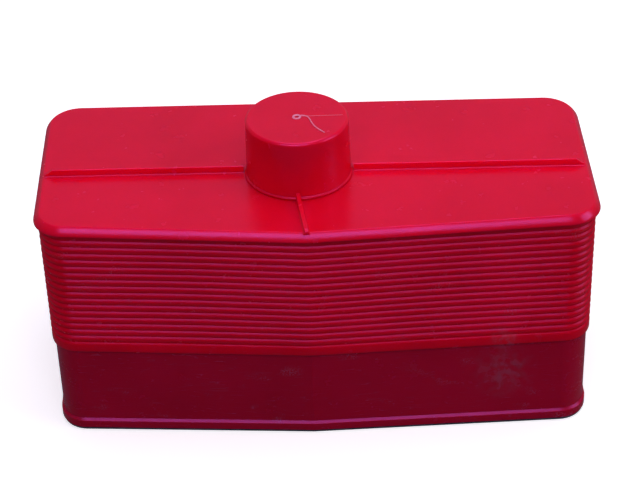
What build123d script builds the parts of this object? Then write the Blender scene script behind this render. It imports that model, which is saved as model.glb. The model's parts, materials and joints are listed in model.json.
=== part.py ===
from build123d import *
import math
import os

# A small water filled barrier block: a ridged red tank with a screw cap and a drain.
# Millimetres, +Z up.  The origin is the middle of the underside; the point of the V faces -Y.

# ---- driving dimensions -------------------------------------------------------------------
LENGTH = 324.0          # lid, end to end at the back
DEPTH = 144.0           # lid, from the point of the V to the back edge
TOP = 146.0             # top face of the lid above the floor
VEE_TOP = 13.0          # how far the point stands out from the front corners, at the lid
VEE_FOOT = 7.5          # the same at the floor, where the front is flatter
VEE_X = -1.0            # the point is a little left of the middle
LEFT_SKEW = 9.0         # the left end runs in by this much from back to front
END_FLARE = 3.0         # each end leans out this much from lid to floor
CORNER = 20.0           # corner radius of the lid
LEAST_CORNER = 4.0      # smallest corner radius of an inner outline
SKIN = 2.5              # usual wall of a moulding
FOOT = 2.0              # thickness of the rubber foot ring
GAP = 0.3               # drawn gap between pieces that move past each other

RIM = 5.0               # height of the lid rim
RIM_ROUND = 3.6         # rounding of the rim's upper edge
PLATE = 3.0             # thickness of the lid's top
GASKET_THICK = 1.5
GASKET_EDGE = 0.8       # lid gasket in from the overhang
GASKET_LAP = 0.4        # lid gasket over the sleeve's inner face
SPIGOT_RISE = 14.0      # how far the tank reaches up inside the sleeve
SHOULDER_LIP = 0.7      # lip of the tank that hides the sleeve gasket
SKIRT = 10.0            # skirt of the lid, down inside the sleeve
OVERHANG = 2.2          # lid rim beyond the ridge crests
WALL_TOP = 59.2         # top of the smooth wall, to the nearest whole ridge
RIDGE_PITCH = 4.4
RIDGE_DEPTH = 1.0
RIDGE_CREST = 0.35      # crest below the ridge's top, as a share of the pitch
RIDGE_HOOD = 0.25       # how far the ridge's top lies in, as a share of the depth
BAND = 7.0              # plain band under the last ridge
BAND_STEP = 1.6         # band stands out this much from the smooth wall
BEAD = 6.5              # height of the bead round the foot
BEAD_STEP = 1.3
BEAD_CREST = 0.75       # share of the bead's height under its sloped top
FOOT_EDGE = 0.8         # foot ring in from the bead
FOOT_WIDTH = 7.0
BEAD_SUNK = 0.3         # top of the bead, inside the wall

CAP_RADIUS = 31.0       # outside, at the foot of the cap
CAP_DRAFT = 1.8         # the cap is this much slimmer at the top
CAP_HEIGHT = 36.0
CAP_BACK = 79.0         # cap axis to the back edge
CAP_X = -6.0            # the cap is left of the middle
CAP_ROOF = 3.0
CAP_SKIN = 2.1          # wall of the cap at the top
CAP_ROUND = 1.6
CAP_PITCH = 4.0         # rise per turn
NECK_TURNS = 2.5        # turns of thread on the neck
CAP_TURNS = 1.5         # turns of thread in the cap
CAP_CLEAR = 0.5         # cap foot to the ribs, and thread crest to root
THREAD_DEPTH = 1.6
THREAD_SUNK = 0.3       # root of every thread inside its wall
THREAD_BASE = 0.4       # width of every thread at its root, as a share of the pitch
THREAD_LIP = 2.5        # lip of the neck to its thread
NECK_SKIN = 3.5
LINER = 2.0             # thickness of the cap liner
LINER_LIP = 1.0         # liner beyond the neck
GATE_RADIUS = 2.5       # round mark left in the middle of the cap by the mould
GATE_BORE = 1.3
GATE_HEIGHT = 0.3
GATE_SUNK = 0.2

RIB_THICK = 2.4
RIB_HEIGHT = 4.5
GUSSET_HEIGHT = 5.5     # at the cap
GUSSET_END = 2.4        # at the point of the V
RIB_END = 4.5           # bare plate left beyond each rib end
RIB_ROUND = 0.6

TIE_END = 25.0          # end of the lid to the nearest tie screws
TIE_WALL = 5.0          # room between a tie pillar and the long walls
TIE_RADIUS = 2.5
TIE_PLAY = 0.1          # tie screw to its insert, and washer to the screw
PILLAR_RADIUS = 6.0
PILLAR_FLARE = 2.0      # the foot of a pillar is this much wider
PILLAR_FOOT = 10.0      # height of that foot
HEAD_RADIUS = 4.4
HEAD_HEIGHT = 3.4
HEAD_POCKET = 6.0       # depth of the pocket for a screw head
HEAD_PLAY = 0.8         # pocket round a washer
WASHER_THICK = 1.0
WASHER_LIP = 1.0        # washer beyond the screw head
BOSS_HEIGHT = 6.0       # lid bosses below the plate
INSERT_RADIUS = 3.6
INSERT_ROOF = 1.5       # plate left above an insert's hole
KNURL_DEPTH = 0.4       # groove round the middle of an insert
KNURL_HALF = 0.7
SEAL_EDGE = 0.3         # pillar seal in from the pillar's edge
SEAL_PLAY = 0.5         # pillar seal round the tie screw

BAFFLE_ROOM = 13.0      # baffle tops below the lid skirt
BAFFLE_PLAY = 0.8       # baffle edges to the spigot wall
BAFFLE_ROUND = 5.0
WINDOW_RADIUS = 26.0
WINDOW_RISE = 0.58      # middle of the window, as a share of the baffle's height
NOTCH_RADIUS = 9.0
RAIL = 2.0              # thickness of a baffle guide
RAIL_PLAY = 0.2
RAIL_SET = 2.0          # middle of a guide, in from the baffle's edge
RAIL_FRONT = 8.0
RAIL_BACK = 6.0
RAIL_DROP = 4.0         # guides below the top of the spigot

DRAIN_Z = 27.0
DRAIN_PITCH = 2.5
DRAIN_RADIUS = 7.0      # crest of the plug thread
DRAIN_POCKET = 18.0
DRAIN_POCKET_DEPTH = 13.0
DRAIN_CLEAR = 0.4
DRAIN_THREAD = 1.0
BUSH_FLANGE = 2.5
BUSH_REACH = 14.0       # how far the bush reaches into the tank
BUSH_SKIN = 3.6
BUSH_LIP = 3.0          # flange beyond the bush
BUSH_TURNS = 2.0
THREAD_START = 5.5      # inner end of the bush to its thread
NUT_THICK = 5.0
NUT_WALL = 5.0
PLUG_TURNS = 2.5
PLUG_HEAD = 2.0
PLUG_LIP = 1.5          # plug head beyond the bush
GRIP_LENGTH = 20.0
GRIP_THICK = 4.0
GRIP_HEIGHT = 4.5
RING_THICK = 1.8

# ---- worked out from the above ------------------------------------------------------------
FRONT = -DEPTH / 2
BACK = DEPTH / 2
CAP_Y = BACK - CAP_BACK
RIM_LOW = TOP - RIM
RIDGES = round((RIM_LOW - BAND - WALL_TOP) / RIDGE_PITCH)
RIDGE_LOW = RIM_LOW - RIDGES * RIDGE_PITCH
SLEEVE_LOW = RIDGE_LOW - BAND
WALL_INSET = OVERHANG + BAND_STEP
SLEEVE_INNER = OVERHANG + RIDGE_DEPTH + SKIN - GAP
SPIGOT_OUTER = SLEEVE_INNER + GAP
SPIGOT_INNER = SPIGOT_OUTER + SKIN - GAP
FLOOR_TOP = FOOT + SKIN
PLATE_LOW = TOP - PLATE
BOSS_LOW = PLATE_LOW - BOSS_HEIGHT
PILLAR_TOP = BOSS_LOW - GASKET_THICK
CAP_BORE = CAP_RADIUS - CAP_DRAFT - CAP_SKIN
NECK_RADIUS = CAP_BORE - THREAD_DEPTH - CAP_CLEAR
NECK_TOP = TOP + CAP_HEIGHT - CAP_ROOF - LINER - GAP
NECK_THREAD_LOW = NECK_TOP - THREAD_LIP - CAP_PITCH * NECK_TURNS
POCKET_FLOOR = BACK - WALL_INSET - DRAIN_POCKET_DEPTH
TIE_STEP = (LENGTH - 2 * TIE_END) / 3
TIE_X = [TIE_STEP * (column - 1.5) for column in range(4)]
BAFFLE_X = TIE_STEP     # half way between two columns of tie screws
BAFFLE_TOP = RIM_LOW - SKIRT - BAFFLE_ROOM
BUSH_RADIUS = DRAIN_RADIUS + DRAIN_CLEAR + BUSH_SKIN


def outline(z, inset):
    """Plan face of the body at height z, drawn in from the lid edge by inset."""
    low = (TOP - z) / TOP
    half = LENGTH / 2 + END_FLARE * low - inset
    back = BACK - inset
    slope = (VEE_TOP + (VEE_FOOT - VEE_TOP) * low) / (LENGTH / 2)
    tip = FRONT + inset * math.hypot(1, slope)
    left = LEFT_SKEW - half
    path = Polyline(
        (-half, back), (half, back), (half, tip + slope * (half - VEE_X)),
        (VEE_X, tip), (left, tip + slope * (VEE_X - left)), close=True,
    )
    face = make_face(path)
    corners = [v for v in face.vertices() if abs(v.X - VEE_X) > 1]
    return Pos(0, 0, z) * fillet(corners, max(CORNER - inset, LEAST_CORNER))


def band(high, low, inset_high, inset_low=None):
    """Solid band of the body between two heights."""
    inset_low = inset_high if inset_low is None else inset_low
    return loft([outline(low, inset_low), outline(high, inset_high)], ruled=True)


def tube(radius, bore, low, high, x=0.0, y=0.0):
    """Upright ring or, with no bore, a plain cylinder."""
    solid = Cylinder(radius, high - low, align=(Align.CENTER, Align.CENTER, Align.MIN))
    if bore:
        solid -= Cylinder(bore, high - low, align=(Align.CENTER, Align.CENTER, Align.MIN))
    return Pos(x, y, low) * solid


def thread(root, pitch, turns, depth, base):
    """One helical ridge from z = 0 up; depth is positive outwards and negative inwards."""
    sunk = math.copysign(THREAD_SUNK, depth)
    path = Helix(pitch=pitch, height=pitch * turns, radius=root)
    wide, narrow = base / 2, base / 4
    profile = Polyline(
        (root - sunk, -wide), (root + depth, -narrow), (root + depth, narrow), (root - sunk, wide), close=True
    )
    face = make_face(Plane.XZ * profile)
    return sweep(face, path=path, is_frenet=True)


def inner_front(x):
    """Inner face of the front wall at x, at lid height, where it lies furthest back."""
    return FRONT + SPIGOT_INNER + VEE_TOP * abs(x - VEE_X) / (LENGTH / 2)


def tie_points():
    """Plan positions of the eight tie screws."""
    points = []
    for x in TIE_X:
        points.append((x, inner_front(x) + PILLAR_RADIUS + TIE_WALL))
        points.append((x, BACK - SPIGOT_INNER - PILLAR_RADIUS - TIE_WALL))
    return points


def at_ties(make):
    """The same piece at every tie screw."""
    return [Pos(x, y, 0) * make() for x, y in tie_points()]


# ---- upper body ---------------------------------------------------------------------------
def left_end(y):
    """x of the lid's skewed left end at y."""
    front_x = LEFT_SKEW - LENGTH / 2
    front_y = FRONT + VEE_TOP * (VEE_X - front_x) / (LENGTH / 2)
    return LEFT_SKEW * (BACK - y) / (BACK - front_y) - LENGTH / 2


def long_rib(side):
    """Rib from the cap out to one end, with a sloped outer end."""
    start = CAP_RADIUS + CAP_CLEAR
    edge = LENGTH / 2 if side > 0 else -left_end(CAP_Y)
    end = edge - RIB_END - side * CAP_X
    top = TOP + RIB_HEIGHT
    slant = RIB_HEIGHT
    side_view = Polyline(
        (start, TOP - 1), (end, TOP - 1), (end, TOP), (end - slant, top), (start, top), close=True
    )
    rib = extrude(make_face(Plane.XZ * side_view), RIB_THICK / 2, both=True)
    rib = fillet(rib.edges().filter_by(Axis.X).group_by(Axis.Z)[-1], RIB_ROUND)
    rib = rib if side > 0 else mirror(rib, Plane.YZ)
    return Pos(CAP_X, CAP_Y, 0) * rib


def gusset():
    """Rib from the cap to the point of the V, which it meets a little askew."""
    start = CAP_Y - CAP_RADIUS - CAP_CLEAR
    end = FRONT + RIM_ROUND * 0.6
    top = TOP + GUSSET_HEIGHT
    side_view = Polyline(
        (start, TOP - 1), (end + 2, TOP - 1), (end + 0.5, TOP - 0.3),
        (end + 2, TOP + GUSSET_END), (start, top), close=True,
    )
    rib = extrude(make_face(Plane.YZ * side_view), RIB_THICK / 2, both=True)
    upper = rib.edges().filter_by(Plane.YZ).group_by(Axis.Z)[-1]
    askew = math.degrees(math.atan2(VEE_X - CAP_X, start - end))
    return Pos(CAP_X, start, 0) * Rot(0, 0, askew) * Pos(0, -start, 0) * fillet(upper, RIB_ROUND)


def lid():
    """Top plate with rim, ribs, neck, inner skirt and screw bosses."""
    plate = extrude(outline(TOP, 0), -RIM)
    plate = fillet(plate.faces().sort_by(Axis.Z)[-1].edges(), RIM_ROUND)
    skirt_low = RIM_LOW - SKIRT
    body = plate + band(RIM_LOW + 1, skirt_low, SPIGOT_OUTER) - band(PLATE_LOW, skirt_low, SPIGOT_INNER)
    body += long_rib(1) + long_rib(-1) + gusset()
    body += tube(NECK_RADIUS, 0, PLATE_LOW, NECK_TOP, CAP_X, CAP_Y)
    ridge = thread(NECK_RADIUS, CAP_PITCH, NECK_TURNS, THREAD_DEPTH, CAP_PITCH * THREAD_BASE)
    body += Pos(CAP_X, CAP_Y, NECK_THREAD_LOW) * ridge
    body -= tube(NECK_RADIUS - NECK_SKIN, 0, PLATE_LOW - 1, NECK_TOP + 1, CAP_X, CAP_Y)
    for boss in at_ties(lambda: tube(PILLAR_RADIUS, 0, BOSS_LOW, PLATE_LOW + 0.5)):
        body += boss
    for hole in at_ties(lambda: tube(INSERT_RADIUS, 0, BOSS_LOW, TOP - INSERT_ROOF)):
        body -= hole
    return body - lid_gasket()


def lid_gasket():
    """Flat ring in the groove under the rim."""
    high = RIM_LOW + GASKET_THICK
    inner = band(high, RIM_LOW, SLEEVE_INNER - GASKET_LAP)
    return band(high, RIM_LOW, OVERHANG + GASKET_EDGE) - inner


def ridged_sleeve():
    """Wall of saw-tooth ridges that ends in a plain band."""
    sleeve = band(RIDGE_LOW, SLEEVE_LOW, OVERHANG)
    for count in range(RIDGES):
        high = RIM_LOW - count * RIDGE_PITCH
        crest = high - RIDGE_PITCH * RIDGE_CREST
        sleeve += band(high, crest, OVERHANG + RIDGE_DEPTH * RIDGE_HOOD, OVERHANG)
        sleeve += band(crest, high - RIDGE_PITCH, OVERHANG, OVERHANG + RIDGE_DEPTH)
    return sleeve - band(RIM_LOW, SLEEVE_LOW, SLEEVE_INNER)


# ---- lower body ---------------------------------------------------------------------------
def pillar():
    """Hollow tie pillar with a wide foot."""
    foot = tube(PILLAR_RADIUS + PILLAR_FLARE, 0, FOOT, FOOT + PILLAR_FOOT)
    return tube(PILLAR_RADIUS, 0, FOOT, PILLAR_TOP) + foot


def pillar_hole():
    """Screw hole and the pocket for its head."""
    pocket = tube(HEAD_RADIUS + WASHER_LIP + HEAD_PLAY, 0, FOOT, FOOT + HEAD_POCKET)
    return tube(TIE_RADIUS + GAP, 0, FOOT, PILLAR_TOP) + pocket


def baffle_span(x):
    """Front and back y of the room for a baffle."""
    return inner_front(x) + BAFFLE_PLAY, BACK - SPIGOT_INNER - BAFFLE_PLAY


def guide_pairs():
    """Short upright rails that hold the baffles front and back."""
    rails = []
    high = SLEEVE_LOW + SPIGOT_RISE - RAIL_DROP
    for side in (-1, 1):
        front, back = baffle_span(side * BAFFLE_X)
        for y, room in ((front + RAIL_SET, RAIL_FRONT), (back - RAIL_SET, RAIL_BACK)):
            for shift in (-1, 1):
                x = side * BAFFLE_X + shift * (SKIN / 2 + RAIL_PLAY + RAIL / 2)
                rail = Box(RAIL, room, high - FOOT, align=(Align.CENTER, Align.CENTER, Align.MIN))
                rails.append(Pos(x, y, FOOT) * rail)
    return rails


def facing_back(solid, y):
    """Turn an upright piece so that its +Z faces +Y, with its base at y."""
    return Pos(0, y, DRAIN_Z) * Rot(-90, 0, 0) * solid


def lower_tank():
    """Smooth lower wall with bead, floor, spigot, pillars, guides and drain pocket."""
    shoulder = SLEEVE_LOW - GASKET_THICK
    spigot_top = SLEEVE_LOW + SPIGOT_RISE
    tank = band(shoulder, FOOT, WALL_INSET)
    tank += band(spigot_top, shoulder, SPIGOT_OUTER)
    crest = FOOT + BEAD * BEAD_CREST
    bead_low = band(crest, FOOT, WALL_INSET - BEAD_STEP)
    bead_high = band(FOOT + BEAD, crest, WALL_INSET + BEAD_SUNK, WALL_INSET - BEAD_STEP)
    tank += bead_low + bead_high
    tank += band(SLEEVE_LOW, shoulder, WALL_INSET) - band(SLEEVE_LOW, shoulder, WALL_INSET + SHOULDER_LIP)
    room = band(spigot_top, FLOOR_TOP, SPIGOT_INNER)
    pocket = facing_back(tube(DRAIN_POCKET + SKIN, 0, -SKIN, DRAIN_POCKET_DEPTH + 1), POCKET_FLOOR)
    inside = pocket & band(shoulder, FOOT, WALL_INSET)
    tank -= room
    tank += inside
    for rail in guide_pairs():
        tank += rail & band(spigot_top, FOOT, WALL_INSET + 1)
    for post in at_ties(pillar):
        tank += post
    for hole in at_ties(pillar_hole):
        tank -= hole
    tank -= facing_back(tube(DRAIN_POCKET, 0, 0, DRAIN_POCKET_DEPTH + 6), POCKET_FLOOR)
    tank -= facing_back(tube(BUSH_RADIUS + 0.1, 0, -SKIN - 1, 1), POCKET_FLOOR)
    return tank


def sleeve_gasket():
    """Flat ring on the tank shoulder, under the sleeve."""
    low = SLEEVE_LOW - GASKET_THICK
    return band(SLEEVE_LOW, low, WALL_INSET + SHOULDER_LIP) - band(SLEEVE_LOW, low, SPIGOT_OUTER)


def foot_ring():
    """Rubber ring under the edge of the floor."""
    inset = WALL_INSET - BEAD_STEP + FOOT_EDGE
    return band(FOOT, 0, inset) - band(FOOT, 0, inset + FOOT_WIDTH)


def baffle(side):
    """Cross plate with a large window and two drain notches."""
    front, back = baffle_span(side * BAFFLE_X)
    low = FLOOR_TOP
    height = BAFFLE_TOP - low
    plate = Box(SKIN, back - front, height, align=(Align.CENTER, Align.MIN, Align.MIN))
    plate = fillet(plate.edges().filter_by(Axis.X), BAFFLE_ROUND)
    plate = Pos(side * BAFFLE_X, front, low) * plate
    middle = (front + back) / 2
    window = Rot(0, 90, 0) * Cylinder(WINDOW_RADIUS, SKIN * 2)
    plate -= Pos(side * BAFFLE_X, middle, low + height * WINDOW_RISE) * window
    for shift in (-1, 1):
        notch = Rot(0, 90, 0) * Cylinder(NOTCH_RADIUS, SKIN * 2)
        plate -= Pos(side * BAFFLE_X, middle + shift * (back - front) / 4, low) * notch
    return plate


# ---- screws and inserts -------------------------------------------------------------------
def tie_bolt():
    """Long screw with a hexagon head, drawn at its outer diameter."""
    seat = FOOT + HEAD_POCKET - WASHER_THICK
    head = Pos(0, 0, seat - HEAD_HEIGHT) * extrude(RegularPolygon(HEAD_RADIUS, 6), HEAD_HEIGHT)
    return head + tube(TIE_RADIUS - TIE_PLAY, 0, seat, PLATE_LOW)


def tie_washer():
    """Washer between screw head and pocket roof."""
    roof = FOOT + HEAD_POCKET
    return tube(HEAD_RADIUS + WASHER_LIP, TIE_RADIUS + TIE_PLAY, roof - WASHER_THICK, roof)


def lid_insert():
    """Threaded brass insert in a lid boss, with one knurl groove."""
    low, high = BOSS_LOW, PLATE_LOW
    body = tube(INSERT_RADIUS, TIE_RADIUS, low, high)
    middle = (low + high) / 2
    groove = INSERT_RADIUS - KNURL_DEPTH
    return body - tube(INSERT_RADIUS + 1, groove, middle - KNURL_HALF, middle + KNURL_HALF)


def pillar_seal():
    """Ring between pillar and lid boss."""
    return tube(PILLAR_RADIUS - SEAL_EDGE, TIE_RADIUS + SEAL_PLAY, PILLAR_TOP, BOSS_LOW)


# ---- filler cap ---------------------------------------------------------------------------
def filler_cap():
    """Plain round screw cap."""
    low, high = TOP + GAP, TOP + CAP_HEIGHT
    on_base = (Align.CENTER, Align.CENTER, Align.MIN)
    skirt = Cone(CAP_RADIUS, CAP_RADIUS - CAP_DRAFT, high - low, align=on_base)
    body = fillet(skirt.edges().group_by(Axis.Z)[-1], CAP_ROUND)
    body = Pos(0, 0, low) * body
    body -= tube(CAP_BORE, 0, low, high - CAP_ROOF)
    ridge = thread(CAP_BORE, CAP_PITCH, CAP_TURNS, -THREAD_DEPTH, CAP_PITCH * THREAD_BASE)
    body += Pos(0, 0, NECK_THREAD_LOW - CAP_PITCH / 2) * ridge
    body += tube(GATE_RADIUS, GATE_BORE, high - GATE_SUNK, high + GATE_HEIGHT)
    return Pos(CAP_X, CAP_Y, 0) * body


def cap_liner():
    """Sealing disc under the cap roof."""
    high = TOP + CAP_HEIGHT - CAP_ROOF
    return tube(NECK_RADIUS + LINER_LIP, 0, high - LINER, high - GAP, CAP_X, CAP_Y)


# ---- drain --------------------------------------------------------------------------------
def drain_bush():
    """Threaded bush through the pocket floor, with an outer flange."""
    flange_low = GASKET_THICK
    bush = tube(BUSH_RADIUS + BUSH_LIP, 0, flange_low, flange_low + BUSH_FLANGE)
    bush += tube(BUSH_RADIUS, 0, -BUSH_REACH, flange_low)
    bore = DRAIN_RADIUS + DRAIN_CLEAR
    bush -= tube(bore, 0, -BUSH_REACH, flange_low + BUSH_FLANGE)
    ridge = thread(bore, DRAIN_PITCH, BUSH_TURNS, -DRAIN_THREAD, DRAIN_PITCH * THREAD_BASE)
    bush += Pos(0, 0, THREAD_START - BUSH_REACH) * ridge
    return facing_back(bush, POCKET_FLOOR)


def drain_gasket():
    """Flat ring under the bush flange."""
    return facing_back(tube(BUSH_RADIUS + BUSH_LIP, BUSH_RADIUS, 0, GASKET_THICK), POCKET_FLOOR)


def drain_nut():
    """Hexagon back nut inside the tank."""
    nut = extrude(RegularPolygon(BUSH_RADIUS + NUT_WALL, 6), NUT_THICK)
    nut -= Cylinder(BUSH_RADIUS, NUT_THICK * 3)
    return facing_back(Pos(0, 0, -SKIN - NUT_THICK) * nut, POCKET_FLOOR)


def drain_plug():
    """Screw plug with a grip bar across its head."""
    face = GASKET_THICK + BUSH_FLANGE
    head_low = face + RING_THICK + GAP * 2
    core = DRAIN_RADIUS - DRAIN_THREAD
    plug = tube(core, 0, -BUSH_REACH + 1, head_low)
    plug += tube(BUSH_RADIUS + PLUG_LIP, 0, head_low, head_low + PLUG_HEAD)
    sunk = 0.5
    grip = Box(GRIP_LENGTH, GRIP_THICK, GRIP_HEIGHT + sunk, align=(Align.CENTER, Align.CENTER, Align.MIN))
    grip = fillet(grip.edges().filter_by(Axis.Z), GRIP_THICK * 0.375)
    plug += Pos(0, 0, head_low + PLUG_HEAD - sunk) * grip
    low = THREAD_START - BUSH_REACH + DRAIN_PITCH / 2
    plug += Pos(0, 0, low) * thread(core, DRAIN_PITCH, PLUG_TURNS, DRAIN_THREAD, DRAIN_PITCH * THREAD_BASE)
    return facing_back(plug, POCKET_FLOOR)


def drain_ring():
    """Sealing ring under the plug head."""
    low = GASKET_THICK + BUSH_FLANGE + GAP
    return facing_back(tube(BUSH_RADIUS, DRAIN_RADIUS + DRAIN_CLEAR, low, low + RING_THICK), POCKET_FLOOR)


# ---- write every node ---------------------------------------------------------------------
NODES = {
    "lid": lid,
    "lid_gasket": lid_gasket,
    "ridged_sleeve": ridged_sleeve,
    "lower_tank": lower_tank,
    "sleeve_gasket": sleeve_gasket,
    "foot_ring": foot_ring,
    "baffle_left": lambda: baffle(-1),
    "baffle_right": lambda: baffle(1),
    "tie_bolts": lambda: Compound(at_ties(tie_bolt)),
    "tie_washers": lambda: Compound(at_ties(tie_washer)),
    "lid_inserts": lambda: Compound(at_ties(lid_insert)),
    "pillar_seals": lambda: Compound(at_ties(pillar_seal)),
    "filler_cap": filler_cap,
    "cap_liner": cap_liner,
    "drain_bush": drain_bush,
    "drain_gasket": drain_gasket,
    "drain_nut": drain_nut,
    "drain_plug": drain_plug,
    "drain_ring": drain_ring,
}

os.makedirs("parts", exist_ok=True)
for name, make in NODES.items():
    export_step(make(), f"parts/{name}.step")
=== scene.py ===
import json
import math

import bmesh
import bpy
from mathutils import Matrix, Vector


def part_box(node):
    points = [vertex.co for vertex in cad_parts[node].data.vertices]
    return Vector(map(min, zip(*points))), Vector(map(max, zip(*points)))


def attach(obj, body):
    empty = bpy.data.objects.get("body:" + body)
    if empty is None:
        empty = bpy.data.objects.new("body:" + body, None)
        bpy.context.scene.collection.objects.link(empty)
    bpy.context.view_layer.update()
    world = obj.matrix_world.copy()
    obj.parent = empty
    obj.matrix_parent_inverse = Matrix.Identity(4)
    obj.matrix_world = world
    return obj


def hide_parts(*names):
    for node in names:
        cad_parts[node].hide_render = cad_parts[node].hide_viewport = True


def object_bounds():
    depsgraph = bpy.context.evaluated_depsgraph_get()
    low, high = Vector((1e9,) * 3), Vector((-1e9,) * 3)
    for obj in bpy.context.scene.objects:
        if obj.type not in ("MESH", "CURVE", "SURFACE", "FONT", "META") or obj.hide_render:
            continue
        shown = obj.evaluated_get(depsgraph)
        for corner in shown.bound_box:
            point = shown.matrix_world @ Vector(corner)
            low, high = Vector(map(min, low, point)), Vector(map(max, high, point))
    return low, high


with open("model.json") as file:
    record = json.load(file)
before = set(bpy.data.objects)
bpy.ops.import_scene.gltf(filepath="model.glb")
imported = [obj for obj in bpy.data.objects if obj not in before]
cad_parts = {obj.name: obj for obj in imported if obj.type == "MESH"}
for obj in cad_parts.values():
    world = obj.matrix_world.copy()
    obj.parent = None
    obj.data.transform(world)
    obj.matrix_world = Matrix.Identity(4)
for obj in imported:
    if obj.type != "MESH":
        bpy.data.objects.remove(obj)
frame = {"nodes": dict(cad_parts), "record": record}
cad_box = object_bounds()

# Looks of the water filled barrier block.  Metres, +Z up, the point of the V faces -Y.

# ---- sizes read from the frame ------------------------------------------------------------
MM = 0.001
lid_low, lid_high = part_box("lid")
sleeve_low, sleeve_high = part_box("ridged_sleeve")
cap_low, cap_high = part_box("filler_cap")
liner_low, liner_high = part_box("cap_liner")
gasket_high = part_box("lid_gasket")[1]
insert_low, insert_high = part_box("lid_inserts")

HALF = lid_high.x
BACK = lid_high.y
FRONT = lid_low.y
RIM_LOW = sleeve_high.z
SLEEVE_LOW = sleeve_low.z
PLATE_LOW = insert_high.z
BOSS_LOW = insert_low.z
NECK_TOP = lid_high.z
GAP = 0.3 * MM              # drawn gap between pieces that move past each other
TOP = cap_low.z - GAP
CAP_X = (cap_low.x + cap_high.x) / 2
CAP_Y = (cap_low.y + cap_high.y) / 2
CAP_RADIUS = (cap_high.x - cap_low.x) / 2
CAP_TOP = cap_high.z - GAP
LINER_LIP = 1 * MM          # cap liner beyond the neck
NECK_RADIUS = (liner_high.x - liner_low.x) / 2 - LINER_LIP

# ---- sizes of the mouldings ---------------------------------------------------------------
VEE_TOP = 13 * MM           # how far the point of the V stands out, at the lid
VEE_FOOT = 7.5 * MM         # the same at the floor
VEE_X = -1 * MM             # the point is a little left of the middle
LEFT_SKEW = 9 * MM          # the left end runs in by this much from back to front
END_FLARE = 3 * MM          # each end leans out this much from lid to floor
CORNER = 20 * MM
LEAST_CORNER = 4 * MM
POINT_ROUND = 30 * MM       # rounding of the point of the V
SKIN = 2.5 * MM             # usual wall of a moulding
SKIRT = 10 * MM             # skirt of the lid, down inside the sleeve
SKIRT_LOW = RIM_LOW - SKIRT
RIM_LIP = 0.15 * MM         # bevel of the rim's lower edge
RIM_EDGE = 0.5 * MM         # upright part of the rim, under its rounding
RIM_ROUND = 3.6 * MM
FLAT_EDGE = 0.8 * MM        # flat ring of mesh beside a rounding, which keeps its shading clean
RIM_FLATNESS = 1.6          # 1 is a quarter circle and 2 is a straight slope
OVERHANG = 2.2 * MM         # lid rim beyond the ridge crests
GASKET_EDGE = 0.8 * MM      # lid gasket in from the ridge crests
RIDGE_PITCH = 4.4 * MM
RIDGE_DEPTH = 1.0 * MM
BAND = 7 * MM               # plain band under the last ridge
SAG = 0.8 * MM              # how far the ridged walls bow in at mid height
SLEEVE_INNER = OVERHANG + RIDGE_DEPTH + SKIN - GAP
SPIGOT_OUTER = SLEEVE_INNER + GAP
SPIGOT_INNER = SPIGOT_OUTER + SKIN - GAP
BOSS_RADIUS = 6 * MM
INSERT_RADIUS = 3.6 * MM

RIB_HALF = 1.2 * MM
RIB_HEIGHT = 4.5 * MM
RIB_END = 4.5 * MM          # bare plate left beyond each rib end
RIB_FOOT = 0.8 * MM         # fillet at the foot of a rib
RIB_CREST = 0.5 * MM        # rounding of its crest
RIB_SUNK = 0.6 * MM         # root of a rib inside the plate
GUSSET_HEIGHT = 5.5 * MM    # at the cap
GUSSET_END = 2.4 * MM       # at the point of the V
GUSSET_SLANT = 1.6 * MM
CAP_CLEAR = 0.5 * MM        # foot of the cap to the ribs

CAP_DRAFT = 1.8 * MM        # the cap is this much slimmer at the top
CAP_STEP = 0.8 * MM         # the foot lip stands out this much from the cap's side
CAP_SKIN = 2.1 * MM
CAP_ROOF = 3 * MM
CAP_ROUND = 1.6 * MM
CAP_FLATNESS = 1.4          # as for the rim
CAP_DISH = 0.25 * MM        # hollow of the cap's top
THREAD_DEPTH = 1.6 * MM
THREAD_PITCH = 4 * MM
THREAD_HALF = 0.8 * MM      # half the width of a thread at its root
THREAD_SUNK = 0.3 * MM      # root of a thread inside its wall
THREAD_LIP = 2.5 * MM       # lip of the neck to its thread
NECK_TURNS = 2.5
CAP_TURNS = 1.5
NECK_SKIN = 3.5 * MM
NECK_LIP = 0.8 * MM
CAP_BORE = CAP_RADIUS - CAP_DRAFT - CAP_SKIN
THREAD_LOW = NECK_TOP - THREAD_LIP - THREAD_PITCH * NECK_TURNS

SIDE_STEPS = (36, 8, 60, 8, 36)     # mesh steps along the five sides of the outline
ARC_STEPS = 14                      # mesh steps round each of its corners
THREAD_STEPS = 60                   # mesh steps in one turn of a thread


# ---- mesh helpers -------------------------------------------------------------------------
def rounded_corner(before, corner, after, radius):
    """Points of the arc that rounds one corner of an outline."""
    back = (before - corner).normalized()
    ahead = (after - corner).normalized()
    half_angle = back.angle(ahead) / 2
    reach = radius / math.tan(half_angle)
    centre = corner + (back + ahead).normalized() * (radius / math.sin(half_angle))
    start = corner + back * reach - centre
    end = corner + ahead * reach - centre
    turn = start.angle(end)
    points = []
    for step in range(ARC_STEPS + 1):
        part = step / ARC_STEPS
        spoke = start * math.sin((1 - part) * turn) + end * math.sin(part * turn)
        points.append(centre + spoke / math.sin(turn))
    return points


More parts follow.
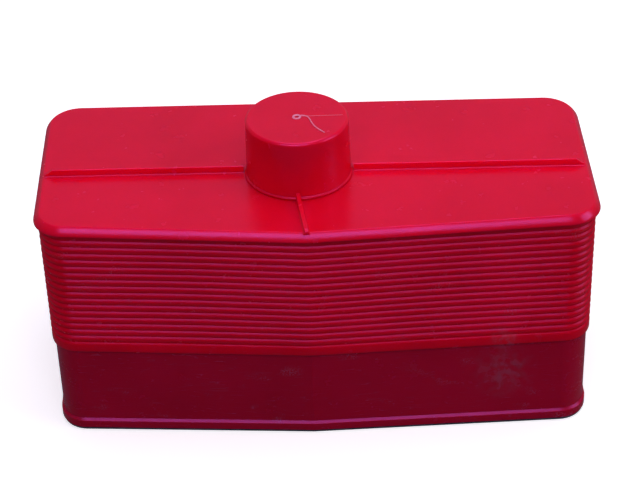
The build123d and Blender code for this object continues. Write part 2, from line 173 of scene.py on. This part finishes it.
def outline(z, inset, sag=0.0):
    """Ring of the body at height z, drawn in by inset, with long walls that sag inwards."""
    low = (TOP - z) / TOP
    half = HALF + END_FLARE * low - inset
    back = BACK - inset
    slope = (VEE_TOP + (VEE_FOOT - VEE_TOP) * low) / HALF
    tip = FRONT + inset * math.hypot(1, slope)
    left = LEFT_SKEW - half
    corners = [
        Vector((VEE_X, tip)),
        Vector((half, tip + slope * (half - VEE_X))),
        Vector((half, back)),
        Vector((-half, back)),
        Vector((left, tip + slope * (VEE_X - left))),
    ]
    radii = [POINT_ROUND] + [max(CORNER - inset, LEAST_CORNER)] * 4
    count = len(corners)
    arcs = []
    for at in range(count):
        before, after = corners[at - 1], corners[(at + 1) % count]
        arcs.append(rounded_corner(before, corners[at], after, radii[at]))
    ring = []
    for at in range(count):
        ring += arcs[at]
        start, end = arcs[at][-1], arcs[(at + 1) % count][0]
        along = end - start
        inward = Vector((-along.y, along.x)).normalized()
        for step in range(1, SIDE_STEPS[at]):
            part = step / SIDE_STEPS[at]
            ring.append(start + along * part + inward * sag * math.sin(math.pi * part) ** 2)
    return [Vector((point.x, point.y, z)) for point in ring]


def left_end(y):
    """x of the lid's skewed left end at y."""
    front_x = LEFT_SKEW - HALF
    front_y = FRONT + VEE_TOP * (VEE_X - front_x) / HALF
    return LEFT_SKEW * (BACK - y) / (BACK - front_y) - HALF


def circle(radius, z, x=CAP_X, y=CAP_Y, steps=128):
    """Ring of a round part."""
    turns = [2 * math.pi * step / steps for step in range(steps)]
    return [Vector((x + radius * math.cos(turn), y + radius * math.sin(turn), z)) for turn in turns]


def loft(rings, wrap=False):
    """Closed mesh through rings of equal length; the ends are capped, or meet when wrap is set."""
    shape = bmesh.new()
    rows = [[shape.verts.new(point) for point in ring] for ring in rings]
    pairs = list(zip(rows, rows[1:]))
    if wrap:
        pairs.append((rows[-1], rows[0]))
    for first, second in pairs:
        for at in range(len(first)):
            after = (at + 1) % len(first)
            shape.faces.new((first[at], first[after], second[after], second[at]))
    if not wrap:
        shape.faces.new(list(reversed(rows[0])))
        shape.faces.new(rows[-1])
    bmesh.ops.recalc_face_normals(shape, faces=shape.faces)
    return shape


def make_object(name, shape):
    """Object in the scene from a bmesh, which is used up."""
    mesh = bpy.data.meshes.new(name)
    shape.to_mesh(mesh)
    shape.free()
    item = bpy.data.objects.new(name, mesh)
    bpy.context.scene.collection.objects.link(item)
    return item


def combine(item, others, operation):
    """Boolean of item with each of the others, which are used up."""
    for other in others:
        change = item.modifiers.new(operation.lower(), "BOOLEAN")
        change.operation = operation
        change.solver = "EXACT"
        change.object = other
        bpy.context.view_layer.update()
        graph = bpy.context.evaluated_depsgraph_get()
        result = bpy.data.meshes.new_from_object(item.evaluated_get(graph))
        item.modifiers.clear()
        old = item.data
        item.data = result
        bpy.data.meshes.remove(old)
        bpy.data.meshes.remove(other.data)
    return item


def shade(item, angle=38):
    """Smooth shading that keeps the real edges and flat faces crisp."""
    for face in item.data.polygons:
        face.use_smooth = True
    item.data.set_sharp_from_angle(angle=math.radians(angle))
    weighted = item.modifiers.new("even_normals", "WEIGHTED_NORMAL")
    weighted.keep_sharp = True
    weighted.weight = 80
    return item


def finish_piece(item, node, material):
    """Hand a finished mesh to the frame in place of a CAD node."""
    item.data.materials.clear()
    item.data.materials.append(material)
    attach(item, body_of(node))
    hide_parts(node)
    return item


def body_of(node):
    """Name of the body that a CAD node belongs to."""
    bodies = frame["record"]["behaviour"]["bodies"]
    return next(body for body, nodes in bodies.items() if node in nodes)


def island_centres(node):
    """Plan centres of the separate solids of a CAD node."""
    shape = bmesh.new()
    shape.from_mesh(frame["nodes"][node].data)
    bmesh.ops.remove_doubles(shape, verts=shape.verts, dist=1e-6)
    waiting = set(shape.verts)
    centres = []
    while waiting:
        stack = [waiting.pop()]
        points = []
        while stack:
            vertex = stack.pop()
            points.append(vertex.co.copy())
            for edge in vertex.link_edges:
                other = edge.other_vert(vertex)
                if other in waiting:
                    waiting.discard(other)
                    stack.append(other)
        middle_x = (min(p.x for p in points) + max(p.x for p in points)) / 2
        middle_y = (min(p.y for p in points) + max(p.y for p in points)) / 2
        centres.append((middle_x, middle_y))
    shape.free()
    return centres


def helix_ridge(root, depth, turns, low):
    """Screw thread round the cap axis that fades out at both ends; depth is negative inwards."""
    steps = round(turns * THREAD_STEPS)
    rings = []
    foot = root - math.copysign(THREAD_SUNK, depth)
    for step in range(steps + 1):
        turn = 2 * math.pi * turns * step / steps
        rise = low + THREAD_PITCH * turns * step / steps
        fade = min(1.0, 6 * step / steps, 6 * (steps - step) / steps)
        crest = root + depth * max(fade, 0.05)
        section = [
            (foot, -THREAD_HALF), (crest, -THREAD_HALF / 2), (crest, THREAD_HALF / 2), (foot, THREAD_HALF),
        ]
        spoke = Vector((math.cos(turn), math.sin(turn), 0))
        centre = Vector((CAP_X, CAP_Y, rise))
        rings.append([centre + spoke * radius + Vector((0, 0, up)) for radius, up in section])
    return loft(rings)


# ---- materials ----------------------------------------------------------------------------
class Shader:
    """Small helper that builds one node material."""

    def __init__(self, name):
        self.material = bpy.data.materials.new(name)
        self.material.use_nodes = True
        self.nodes = self.material.node_tree.nodes
        self.links = self.material.node_tree.links
        self.surface = self.nodes["Principled BSDF"]
        self.place = self.nodes.new("ShaderNodeTexCoord").outputs["Object"]

    def noise(self, size, detail=3.0, stretch=(1, 1, 1), roughness=0.5):
        """Noise with features of about the given size in metres."""
        mapping = self.nodes.new("ShaderNodeMapping")
        mapping.inputs["Scale"].default_value = [axis / size for axis in stretch]
        self.links.new(self.place, mapping.inputs["Vector"])
        texture = self.nodes.new("ShaderNodeTexNoise")
        texture.inputs["Scale"].default_value = 1.0
        texture.inputs["Detail"].default_value = detail
        texture.inputs["Roughness"].default_value = roughness
        self.links.new(mapping.outputs["Vector"], texture.inputs["Vector"])
        return texture.outputs["Fac"]

    def scratches(self, size, stretch):
        """Thin random lines, white on black."""
        field = self.noise(size, detail=1.0, stretch=stretch)
        return self.band_of(field, 0.495, 0.505)

    def band_of(self, value, low, high):
        """One inside a narrow band of values and zero outside it."""
        rise = self.ramp(value, low - 0.004, low)
        fall = self.ramp(value, high, high + 0.004)
        return self.math("SUBTRACT", rise, fall)

    def ramp(self, value, low, high, bottom=0.0, top=1.0):
        """Map a value from one range to another, clamped."""
        node = self.nodes.new("ShaderNodeMapRange")
        node.inputs["From Min"].default_value = low
        node.inputs["From Max"].default_value = high
        node.inputs["To Min"].default_value = bottom
        node.inputs["To Max"].default_value = top
        self.links.new(value, node.inputs["Value"])
        return node.outputs["Result"]

    def math(self, operation, first, second):
        """Arithmetic on sockets or numbers."""
        node = self.nodes.new("ShaderNodeMath")
        node.operation = operation
        for socket, value in zip(node.inputs, (first, second)):
            if isinstance(value, (int, float)):
                socket.default_value = value
            else:
                self.links.new(value, socket)
        return node.outputs["Value"]

    def mix(self, factor, first, second):
        """Blend of two colours or colour sockets."""
        node = self.nodes.new("ShaderNodeMix")
        node.data_type = "RGBA"
        self.links.new(factor, node.inputs["Factor"])
        colours = [socket for socket in node.inputs if socket.type == "RGBA"]
        for socket, value in zip(colours, (first, second)):
            if isinstance(value, tuple):
                socket.default_value = (*value, 1.0)
            else:
                self.links.new(value, socket)
        return next(socket for socket in node.outputs if socket.type == "RGBA")

    def near(self, place, reach):
        """One at a place on the object, fading to zero at the given distance."""
        node = self.nodes.new("ShaderNodeVectorMath")
        node.operation = "DISTANCE"
        node.inputs[1].default_value = place
        self.links.new(self.place, node.inputs[0])
        return self.ramp(node.outputs["Value"], 0.0, reach, 1.0, 0.0)

    def colour(self, socket):
        """Colour of the surface from a socket."""
        self.links.new(socket, self.surface.inputs["Base Color"])

    def roughness(self, socket):
        """Roughness of the surface from a socket."""
        self.links.new(socket, self.surface.inputs["Roughness"])

    def bump(self, height, distance, strength=1.0):
        """Surface relief of the given depth in metres."""
        node = self.nodes.new("ShaderNodeBump")
        node.inputs["Strength"].default_value = strength
        node.inputs["Distance"].default_value = distance
        self.links.new(height, node.inputs["Height"])
        self.links.new(node.outputs["Normal"], self.surface.inputs["Normal"])

    def set(self, **values):
        """Uniform values on the shader's own sockets."""
        for name, value in values.items():
            self.surface.inputs[name.replace("_", " ")].default_value = value


def red_plastic(name, scuffs, rubs=(), painted_shade_scale=1.0, gleam=0.5):
    """Semi-gloss red polyethylene; scuffs is its overall wear and rubs lists marks with their reach. The
    brightness factor scales the whole base colour down, which is painted shade: it makes darker shaded
    copies of the same plastic.
    """
    shader = Shader(name)
    cloud = shader.ramp(shader.noise(60 * MM), 0.35, 0.65)
    # Base red times the brightness factor: below 1 this is painted shade, not a different plastic.
    red = shader.mix(cloud, (0.74 * painted_shade_scale, 0.0008, 0.014), (0.82 * painted_shade_scale, 0.0014, 0.020))
    grain = shader.ramp(shader.noise(1.2 * MM, detail=2), 0.3, 0.75, 0.0, 0.14)
    red = shader.mix(grain, red, (0.55 * painted_shade_scale, 0.001, 0.008))
    patch = shader.ramp(shader.noise(16 * MM, detail=4, stretch=(0.6, 1, 1.3)), 0.60, 0.74, 0.0, scuffs)
    fine = shader.ramp(shader.noise(0.9 * MM, detail=3), 0.45, 0.7)
    wear = shader.math("MULTIPLY", patch, fine)
    lines = shader.math("MULTIPLY", shader.scratches(14 * MM, (0.5, 3, 5)), 0.2 * scuffs)
    wear = shader.math("MAXIMUM", wear, lines)
    for place, reach in rubs:
        smear = shader.ramp(shader.noise(5 * MM, detail=5), 0.42, 0.68)
        rub = shader.math("MULTIPLY", shader.near(place, reach), smear)
        wear = shader.math("MAXIMUM", wear, shader.math("MULTIPLY", rub, 0.45))
    red = shader.mix(wear, red, (0.24, 0.12, 0.22))
    shader.colour(red)
    gloss = shader.ramp(shader.noise(9 * MM, detail=4), 0.3, 0.7, 0.19, 0.28)
    shader.roughness(shader.math("ADD", gloss, shader.math("MULTIPLY", wear, 0.3)))
    ripple = shader.noise(26 * MM, detail=1)
    pebble = shader.math("MULTIPLY", shader.noise(0.7 * MM, detail=3), 0.05)
    shader.bump(shader.math("ADD", ripple, pebble), 0.4 * MM, 0.4)
    shader.set(IOR=1.50, Specular_IOR_Level=gleam, Specular_Tint=(0.80, 0.20, 1.0, 1.0))
    shader.set(Subsurface_Weight=1.0, Subsurface_Scale=5 * MM, Subsurface_Radius=(1.0, 0.06, 0.08))
    return shader.material


def string_plastic():
    """Thin drawn-out plastic, paler than the moulding because it is stretched."""
    shader = Shader("stretched_plastic")
    tone = shader.ramp(shader.noise(1.5 * MM), 0.3, 0.7)
    shader.colour(shader.mix(tone, (0.80, 0.20, 0.36), (0.86, 0.32, 0.48)))
    shader.roughness(shader.ramp(shader.noise(0.8 * MM), 0.3, 0.7, 0.25, 0.4))
    shader.bump(shader.noise(0.3 * MM), 0.03 * MM, 0.5)
    return shader.material


def rubber(name, dark, pale):
    """Matt rubber with a dusty bloom."""
    shader = Shader(name)
    dust = shader.ramp(shader.noise(7 * MM, detail=5), 0.4, 0.7)
    shader.colour(shader.mix(dust, dark, pale))
    shader.roughness(shader.ramp(shader.noise(3 * MM), 0.3, 0.7, 0.6, 0.85))
    shader.bump(shader.noise(0.6 * MM, detail=4), 0.1 * MM, 0.6)
    return shader.material


def black_plastic():
    """Fine-textured black moulding."""
    shader = Shader("black_moulding")
    worn = shader.ramp(shader.noise(5 * MM, detail=4), 0.5, 0.75)
    shader.colour(shader.mix(worn, (0.012, 0.012, 0.013), (0.035, 0.034, 0.034)))
    shader.roughness(shader.ramp(shader.noise(2 * MM), 0.3, 0.7, 0.38, 0.55))
    shader.bump(shader.noise(0.35 * MM, detail=2), 0.05 * MM, 0.7)
    return shader.material


def zinc():
    """Zinc-plated steel with a mottled passivated finish."""
    shader = Shader("zinc_plate")
    mottle = shader.ramp(shader.noise(2.5 * MM, detail=4), 0.35, 0.65)
    shader.colour(shader.mix(mottle, (0.52, 0.53, 0.55), (0.68, 0.67, 0.62)))
    shader.roughness(shader.ramp(shader.noise(1.2 * MM), 0.3, 0.7, 0.28, 0.5))
    shader.bump(shader.noise(0.5 * MM), 0.03 * MM, 0.5)
    shader.set(Metallic=1.0)
    return shader.material


def brass():
    """Turned brass, slightly dulled."""
    shader = Shader("turned_brass")
    dull = shader.ramp(shader.noise(2 * MM, detail=4), 0.35, 0.7)
    shader.colour(shader.mix(dull, (0.72, 0.50, 0.19), (0.50, 0.33, 0.13)))
    shader.roughness(shader.ramp(shader.noise(1 * MM), 0.3, 0.7, 0.25, 0.42))
    shader.bump(shader.noise(0.4 * MM, stretch=(1, 1, 8)), 0.02 * MM, 0.5)
    shader.set(Metallic=1.0)
    return shader.material


def liner_foam():
    """Pale closed-cell foam."""
    shader = Shader("liner_foam")
    cells = shader.noise(0.5 * MM, detail=2)
    tone = shader.ramp(cells, 0.35, 0.65)
    shader.colour(shader.mix(tone, (0.70, 0.69, 0.65), (0.80, 0.79, 0.75)))
    shader.roughness(shader.ramp(shader.noise(2 * MM), 0.3, 0.7, 0.7, 0.9))
    shader.bump(cells, 0.08 * MM, 0.7)
    return shader.material


# ---- lid ----------------------------------------------------------------------------------
def rib_section(height, half_width):
    """Cross-section of a rib as (across, up) pairs, with a soft foot and crest."""
    side = [(half_width + RIB_FOOT, -RIB_SUNK)]
    for step in range(4):
        turn = math.radians(90 * step / 3)
        side.append((half_width + RIB_FOOT * (1 - math.sin(turn)), RIB_FOOT * (1 - math.cos(turn))))
    for step in range(5):
        turn = math.radians(90 * step / 4)
        across = half_width - RIB_CREST * (1 - math.cos(turn))
        side.append((across, height - RIB_CREST * (1 - math.sin(turn))))
    return side + [(-across, up) for across, up in reversed(side)]


def rib_between(start, end, start_height, end_height, slant):
    """Rib on the plate from start to end; its outer end slopes down over slant and thins a little."""
    along = (end - start).normalized()
    across = Vector((-along.y, along.x, 0))
    length = (end - start).length
    stations = []
    steps = 12
    for step in range(steps + 1):
        part = step / steps
        height = start_height + (end_height - start_height) * part
        stations.append((part * (length - slant), height, RIB_HALF))
    stations.append((length - slant * 0.92, end_height - 0.12 * slant, RIB_HALF))
    stations.append((length - slant * 0.3, RIB_FOOT * 2 + 0.2 * MM, RIB_HALF * 0.98))
    stations.append((length, RIB_FOOT * 1.1, RIB_HALF * 0.9))
    rings = []
    for distance, height, half_width in stations:
        base = start + along * distance
        section = rib_section(max(height, RIB_FOOT + RIB_CREST), half_width)
        rings.append([base + across * side + Vector((0, 0, up)) for side, up in section])
    return loft(rings)


def plate_rings():
    """Rings of the lid from its underside, round the skirt and rim, to the top face."""
    rings = [
        outline(PLATE_LOW, SPIGOT_INNER),
        outline(SKIRT_LOW, SPIGOT_INNER),
        outline(SKIRT_LOW, SPIGOT_OUTER),
        outline(gasket_high.z, SPIGOT_OUTER),
        outline(gasket_high.z, OVERHANG + GASKET_EDGE),
        outline(RIM_LOW, OVERHANG + GASKET_EDGE),
        outline(RIM_LOW, RIM_LIP),
        outline(RIM_LOW + RIM_LIP, 0),
    ]
    low = RIM_LOW + RIM_EDGE
    steps = 12
    for step in range(steps + 1):
        turn = math.radians(90 * step / steps)
        inset = RIM_ROUND * (1 - math.cos(turn) ** RIM_FLATNESS)
        rings.append(outline(low + (TOP - low) * math.sin(turn) ** RIM_FLATNESS, inset))
    rings.append(outline(TOP, RIM_ROUND + FLAT_EDGE))
    return rings


def neck_rings():
    """Rings of the neck, from inside the plate up to its rolled lip."""
    bore = NECK_RADIUS - NECK_SKIN
    foot = PLATE_LOW - 1 * MM
    bevel = NECK_LIP * 0.3
    return [
        circle(bore, foot),
        circle(NECK_RADIUS, foot),
        circle(NECK_RADIUS, TOP),
        circle(NECK_RADIUS, NECK_TOP - NECK_LIP),
        circle(NECK_RADIUS - bevel, NECK_TOP - bevel),
        circle(NECK_RADIUS - NECK_LIP, NECK_TOP),
        circle(bore + NECK_LIP, NECK_TOP),
        circle(bore + bevel, NECK_TOP - bevel),
        circle(bore, NECK_TOP - NECK_LIP),
    ]


def lid_ribs():
    """The two long ribs and the gusset to the point of the V."""
    reach = CAP_RADIUS + CAP_CLEAR
    ribs = []
    for side, edge in ((-1, left_end(CAP_Y)), (1, HALF)):
        start = Vector((CAP_X + side * reach, CAP_Y, TOP))
        end = Vector((edge - side * RIB_END, CAP_Y, TOP))
        ribs.append(make_object("rib", rib_between(start, end, RIB_HEIGHT, RIB_HEIGHT, RIB_HEIGHT)))
    start = Vector((CAP_X, CAP_Y - reach, TOP))
    end = Vector((VEE_X, FRONT + RIM_ROUND * 0.6, TOP))
    ribs.append(make_object("gusset", rib_between(start, end, GUSSET_HEIGHT, GUSSET_END, GUSSET_SLANT)))
    return ribs


def post(name, radius, low, high, **place):
    """Upright cylinder."""
    return make_object(name, loft([circle(radius, low, **place), circle(radius, high, **place)]))


def make_neck():
    """Threaded neck under the cap."""
    neck = make_object("neck", loft(neck_rings(), wrap=True))
    thread = make_object("thread", helix_ridge(NECK_RADIUS, THREAD_DEPTH, NECK_TURNS, THREAD_LOW))
    return combine(neck, [thread], "UNION")


def make_lid(material):
    """Lid with rim, ribs, neck, skirt and hollow screw bosses as one moulding."""
    lid = make_object("lid_shell", loft(plate_rings()))
    bosses = []
    holes = []
    for x, y in island_centres("lid_inserts"):
        place = {"x": x, "y": y, "steps": 40}
        bosses.append(post("boss", BOSS_RADIUS, BOSS_LOW, PLATE_LOW + 0.5 * MM, **place))
        holes.append(post("hole", INSERT_RADIUS, BOSS_LOW - 1 * MM, PLATE_LOW + 0.2 * MM, **place))
    bore = post("bore", NECK_RADIUS - NECK_SKIN / 2, PLATE_LOW - 2 * MM, TOP + 1 * MM)
    combine(lid, [bore], "DIFFERENCE")
    combine(lid, [make_neck()] + lid_ribs() + bosses, "UNION")
    combine(lid, holes, "DIFFERENCE")
    shade(lid)
    return finish_piece(lid, "lid", material)


# ---- walls --------------------------------------------------------------------------------
# One ridge from its top down, as shares of the pitch down and of the ridge depth inwards.
RIDGE_PROFILE = (
    (0.0, 1.0), (0.05, 0.80), (0.14, 0.42), (0.23, 0.12), (0.30, 0.02),
    (0.38, 0.0), (0.50, 0.08), (0.72, 0.40), (0.92, 0.85),
)

# The plain band from its top down, in mm down and as shares of the ridge depth inwards.
BAND_PROFILE = ((0.0, 1.0), (0.3, 0.5), (0.8, 0.12), (1.6, 0.0), (5.6, 0.0), (6.5, 0.15), (7.0, 0.6))


def wall_sag(z):
    """Inward sag of the sleeve's long walls, greatest half way up and none at its ends."""
    part = (RIM_LOW - z) / (RIM_LOW - SLEEVE_LOW)
    return SAG * math.sin(math.pi * min(max(part, 0), 1)) ** 0.8


def make_sleeve(material):
    """Sleeve of softly rounded saw-tooth ridges above a plain band."""
    count = round((RIM_LOW - SLEEVE_LOW - BAND) / RIDGE_PITCH)
    rings = []
    for ridge in range(count):
        high = RIM_LOW - ridge * RIDGE_PITCH
        for down, depth in RIDGE_PROFILE:
            z = high - down * RIDGE_PITCH
            rings.append(outline(z, OVERHANG + depth * RIDGE_DEPTH, wall_sag(z)))
    band_top = RIM_LOW - count * RIDGE_PITCH
    for down, depth in BAND_PROFILE:
        z = band_top - down * MM
        rings.append(outline(z, OVERHANG + depth * RIDGE_DEPTH, wall_sag(z)))
    rings.append(outline(SLEEVE_LOW, SLEEVE_INNER))
    rings.append(outline(RIM_LOW, SLEEVE_INNER))
    sleeve = make_object("ridged_wall", loft(rings, wrap=True))
    shade(sleeve, 50)
    return finish_piece(sleeve, "ridged_sleeve", material)


# ---- filler cap ---------------------------------------------------------------------------
def cap_rings():
    """Rings of the cap from its inner roof, down the bore, round the foot and over the top."""
    low, high = cap_low.z, CAP_TOP
    slim = CAP_RADIUS - CAP_DRAFT
    side_low = low + 1.6 * MM
    side_radius = CAP_RADIUS - CAP_STEP
    bevel = 0.3 * MM
    rings = [
        circle(CAP_BORE, high - CAP_ROOF),
        circle(CAP_BORE, low + 2 * bevel),
        circle(CAP_BORE + 2 * bevel, low),
        circle(CAP_RADIUS - bevel, low),
        circle(CAP_RADIUS, low + bevel),
        circle(CAP_RADIUS, low + 3 * bevel),
        circle(CAP_RADIUS - bevel / 2, low + 4 * bevel),
        circle(side_radius, side_low),
    ]
    steps = 10
    for step in range(1, steps):
        part = step / steps
        radius = side_radius - (CAP_DRAFT - CAP_STEP) * part ** 0.8
        rings.append(circle(radius, side_low + (high - CAP_ROUND - side_low) * part))
    for step in range(9):
        turn = math.radians(90 * step / 8)
        radius = slim - CAP_ROUND * (1 - math.cos(turn) ** CAP_FLATNESS)
        rings.append(circle(radius, high - CAP_ROUND * (1 - math.sin(turn) ** CAP_FLATNESS)))
    rings.append(circle(slim - CAP_ROUND - FLAT_EDGE, high - 0.02 * MM))
    rings.append(circle(slim * 0.6, high - CAP_DISH * 0.6))
    rings.append(circle(3.2 * MM, high - CAP_DISH))
    rings.append(circle(1.4 * MM, high - CAP_DISH))
    return rings


# Paths of the two plastic strings, in mm from the middle of the cap.
WAVY_HOPS = ((2.2, 1.4), (5.5, 1.2), (7.4, -2.5), (8.3, -6.1), (10.6, -11.9), (15.7, -17.5))
STRAIGHT_HOPS = ((2.4, 0.5), (15.0, 0.7), (26.0, 0.9))

# Section of the gate ring, in mm out from its axis and up from the cap's top.
GATE_PROFILE = ((1.3, -0.5), (2.6, -0.5), (2.4, 0.15), (2.1, 0.28), (1.7, 0.25), (1.4, 0.05))


def gate_string(name, hops, radius, material):
    """Thin thread of plastic left on the cap top beside the gate mark."""
    line = bpy.data.curves.new(name, "CURVE")
    line.dimensions = "3D"
    line.bevel_depth = radius
    line.bevel_resolution = 3
    line.use_fill_caps = True
    spline = line.splines.new("NURBS")
    spline.points.add(len(hops) - 1)
    for point, (x, y) in zip(spline.points, hops):
        point.co = (CAP_X + x * MM, CAP_Y + y * MM, CAP_TOP - 0.05 * MM, 1)
    spline.order_u = 3
    spline.use_endpoint_u = True
    holder = bpy.data.objects.new(name + "_path", line)
    bpy.context.scene.collection.objects.link(holder)
    bpy.context.view_layer.update()
    mesh = bpy.data.meshes.new_from_object(holder)
    bpy.data.objects.remove(holder)
    string = bpy.data.objects.new(name, mesh)
    bpy.context.scene.collection.objects.link(string)
    mesh.materials.clear()
    mesh.materials.append(material)
    for face in mesh.polygons:
        face.use_smooth = True
    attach(string, body_of("filler_cap"))
    return string


def gate_ring(material):
    """Small pale witness ring round the gate, in the middle of the cap top."""
    rings = [circle(radius * MM, CAP_TOP + up * MM, steps=48) for radius, up in GATE_PROFILE]
    ring = make_object("gate_ring", loft(rings, wrap=True))
    shade(ring)
    ring.data.materials.append(material)
    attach(ring, body_of("filler_cap"))
    return ring


def make_cap(material):
    """Screw cap with a flared side, a foot lip, a dished top and an inner thread."""
    cap = make_object("screw_cap", loft(cap_rings()))
    low = THREAD_LOW - THREAD_PITCH / 2
    thread = make_object("thread", helix_ridge(CAP_BORE, -THREAD_DEPTH, CAP_TURNS, low))
    combine(cap, [thread], "UNION")
    shade(cap)
    return finish_piece(cap, "filler_cap", material)


# ---- scene --------------------------------------------------------------------------------
def dress_cad_nodes(materials):
    """Give every CAD node that still shows the material of its slot."""
    for row in frame["record"]["subparts"]:
        item = frame["nodes"][row["node"]]
        item.data.materials.clear()
        item.data.materials.append(materials[row["material_slot"]])


def add_floor():
    """Plain pale floor that doesn't throw its own light back on the block."""
    size = 6.0
    low = cad_box[0].z - 0.2 * MM
    shape = bmesh.new()
    corners = [(-size, -size), (size, -size), (size, size), (-size, size)]
    shape.faces.new([shape.verts.new((x, y, low)) for x, y in corners])
    floor = make_object("floor", shape)
    shader = Shader("pale_floor")
    tone = shader.ramp(shader.noise(0.4, detail=2), 0.3, 0.7)
    shader.colour(shader.mix(tone, (0.90, 0.90, 0.90), (0.93, 0.93, 0.93)))
    shader.set(Roughness=0.8, Emission_Color=(1, 1, 1, 1), Emission_Strength=0.5)
    floor.data.materials.append(shader.material)
    floor.visible_diffuse = False
    floor.visible_glossy = False


def add_light(name, place, target, size, power, colour=(1, 1, 1)):
    """Soft rectangular light aimed at a point."""
    lamp = bpy.data.lights.new(name, "AREA")
    lamp.shape = "RECTANGLE"
    lamp.size, lamp.size_y = size
    lamp.energy = power
    lamp.color = colour
    item = bpy.data.objects.new(name, lamp)
    item.location = place
    item.rotation_euler = (Vector(target) - Vector(place)).to_track_quat("-Z", "Y").to_euler()
    bpy.context.scene.collection.objects.link(item)


def add_room():
    """Dim room that is brightest overhead and behind, and dark below."""
    world = bpy.data.worlds.new("room")
    world.use_nodes = True
    tree = world.node_tree
    background = tree.nodes["Background"]
    background.inputs["Color"].default_value = (0.90, 0.76, 1.10, 1)
    place = tree.nodes.new("ShaderNodeTexCoord").outputs["Generated"]
    upward = tree.nodes.new("ShaderNodeVectorMath")
    upward.operation = "DOT_PRODUCT"
    upward.inputs[1].default_value = (0.1, 0.5, 0.86)
    tree.links.new(place, upward.inputs[0])
    rise = tree.nodes.new("ShaderNodeMapRange")
    rise.inputs["From Min"].default_value = 0.0
    rise.inputs["To Min"].default_value = 0.12
    rise.inputs["To Max"].default_value = 0.38
    tree.links.new(upward.outputs["Value"], rise.inputs["Value"])
    tree.links.new(rise.outputs["Result"], background.inputs["Strength"])
    bpy.context.scene.world = world


def add_lights():
    """Soft light from overhead and a little behind, one in front and a weaker one on the right."""
    middle = (0, 0, TOP)
    add_light("overhead", (0.1, 0.2, 1.6), middle, (1.2, 0.9), 8.5, (1.0, 0.97, 1.0))
    add_light("right", (1.5, -0.4, 0.9), middle, (0.8, 0.8), 6)
    add_light("front", (-0.1, -1.25, 1.45), middle, (1.6, 0.7), 12, (0.97, 0.93, 1.0))


def add_camera():
    """Camera above and in front, looking down on the block, slightly turned and tilted."""
    place = Vector((19.7, -743.0, 627.7)) * MM
    turn, tilt, roll = -1.16, -35.82, -1.90
    lens = bpy.data.cameras.new("camera")
    lens.lens = 86.1
    lens.sensor_width = 36
    lens.clip_start = 0.01
    item = bpy.data.objects.new("camera", lens)
    aim = Matrix.Rotation(math.radians(-turn), 4, "Z") @ Matrix.Rotation(math.radians(90 + tilt), 4, "X")
    item.matrix_world = Matrix.Translation(place) @ aim @ Matrix.Rotation(math.radians(roll), 4, "Z")
    bpy.context.scene.collection.objects.link(item)
    bpy.context.scene.camera = item


red = red_plastic("red_moulding", 0.03, gleam=0.68)
rub_x = 0.68 * HALF
rub_y = FRONT + 8 * MM
rub_marks = (
    ((rub_x, rub_y, 0.66 * SLEEVE_LOW), 22 * MM),
    ((rub_x, rub_y, SLEEVE_LOW + BAND / 2), 12 * MM),
    ((-0.22 * HALF, rub_y, 0.3 * SLEEVE_LOW), 4 * MM),
)
# Ridged sleeve: real scuffs and rubs, and its base colour darkened to 0.86 as painted shade on the upright
# ridged walls.
ridged_red_painted_shade = red_plastic("ridged_red_painted_shade_moulding", 0.3, rub_marks, painted_shade_scale=0.86, gleam=0.24)
# Lower tank: real scuffs and rubs, and its base colour darkened to 0.55 as painted shade on the lower
# walls, which sit in the sleeve's shadow.
worn_red_painted_shade = red_plastic("worn_red_painted_shade_moulding", 0.5, rub_marks, painted_shade_scale=0.55, gleam=0.5)
slot_materials = {
    "red_shell": worn_red_painted_shade,
    "seal_rubber": rubber("seal_rubber", (0.012, 0.012, 0.013), (0.03, 0.03, 0.032)),
    # Foot ring: dark blue-grey rubber that also stands in for the thin contact shadow along the foot of
    # the block, so its colour is partly painted shadow.
    "foot_rubber": rubber("foot_rubber", (0.020, 0.024, 0.045), (0.06, 0.07, 0.10)),
    "liner_foam": liner_foam(),
    "zinc_steel": zinc(),
    "insert_brass": brass(),
    "black_plastic": black_plastic(),
}
add_camera()
add_room()
add_lights()
add_floor()
dress_cad_nodes(slot_materials)
make_lid(red)
make_sleeve(ridged_red_painted_shade)
make_cap(red)
stretched = string_plastic()
gate_string("wavy_string", WAVY_HOPS, 0.3 * MM, stretched)
gate_string("straight_string", STRAIGHT_HOPS, 0.08 * MM, stretched)
gate_ring(stretched)
bpy.context.scene.view_settings.view_transform = "Standard"
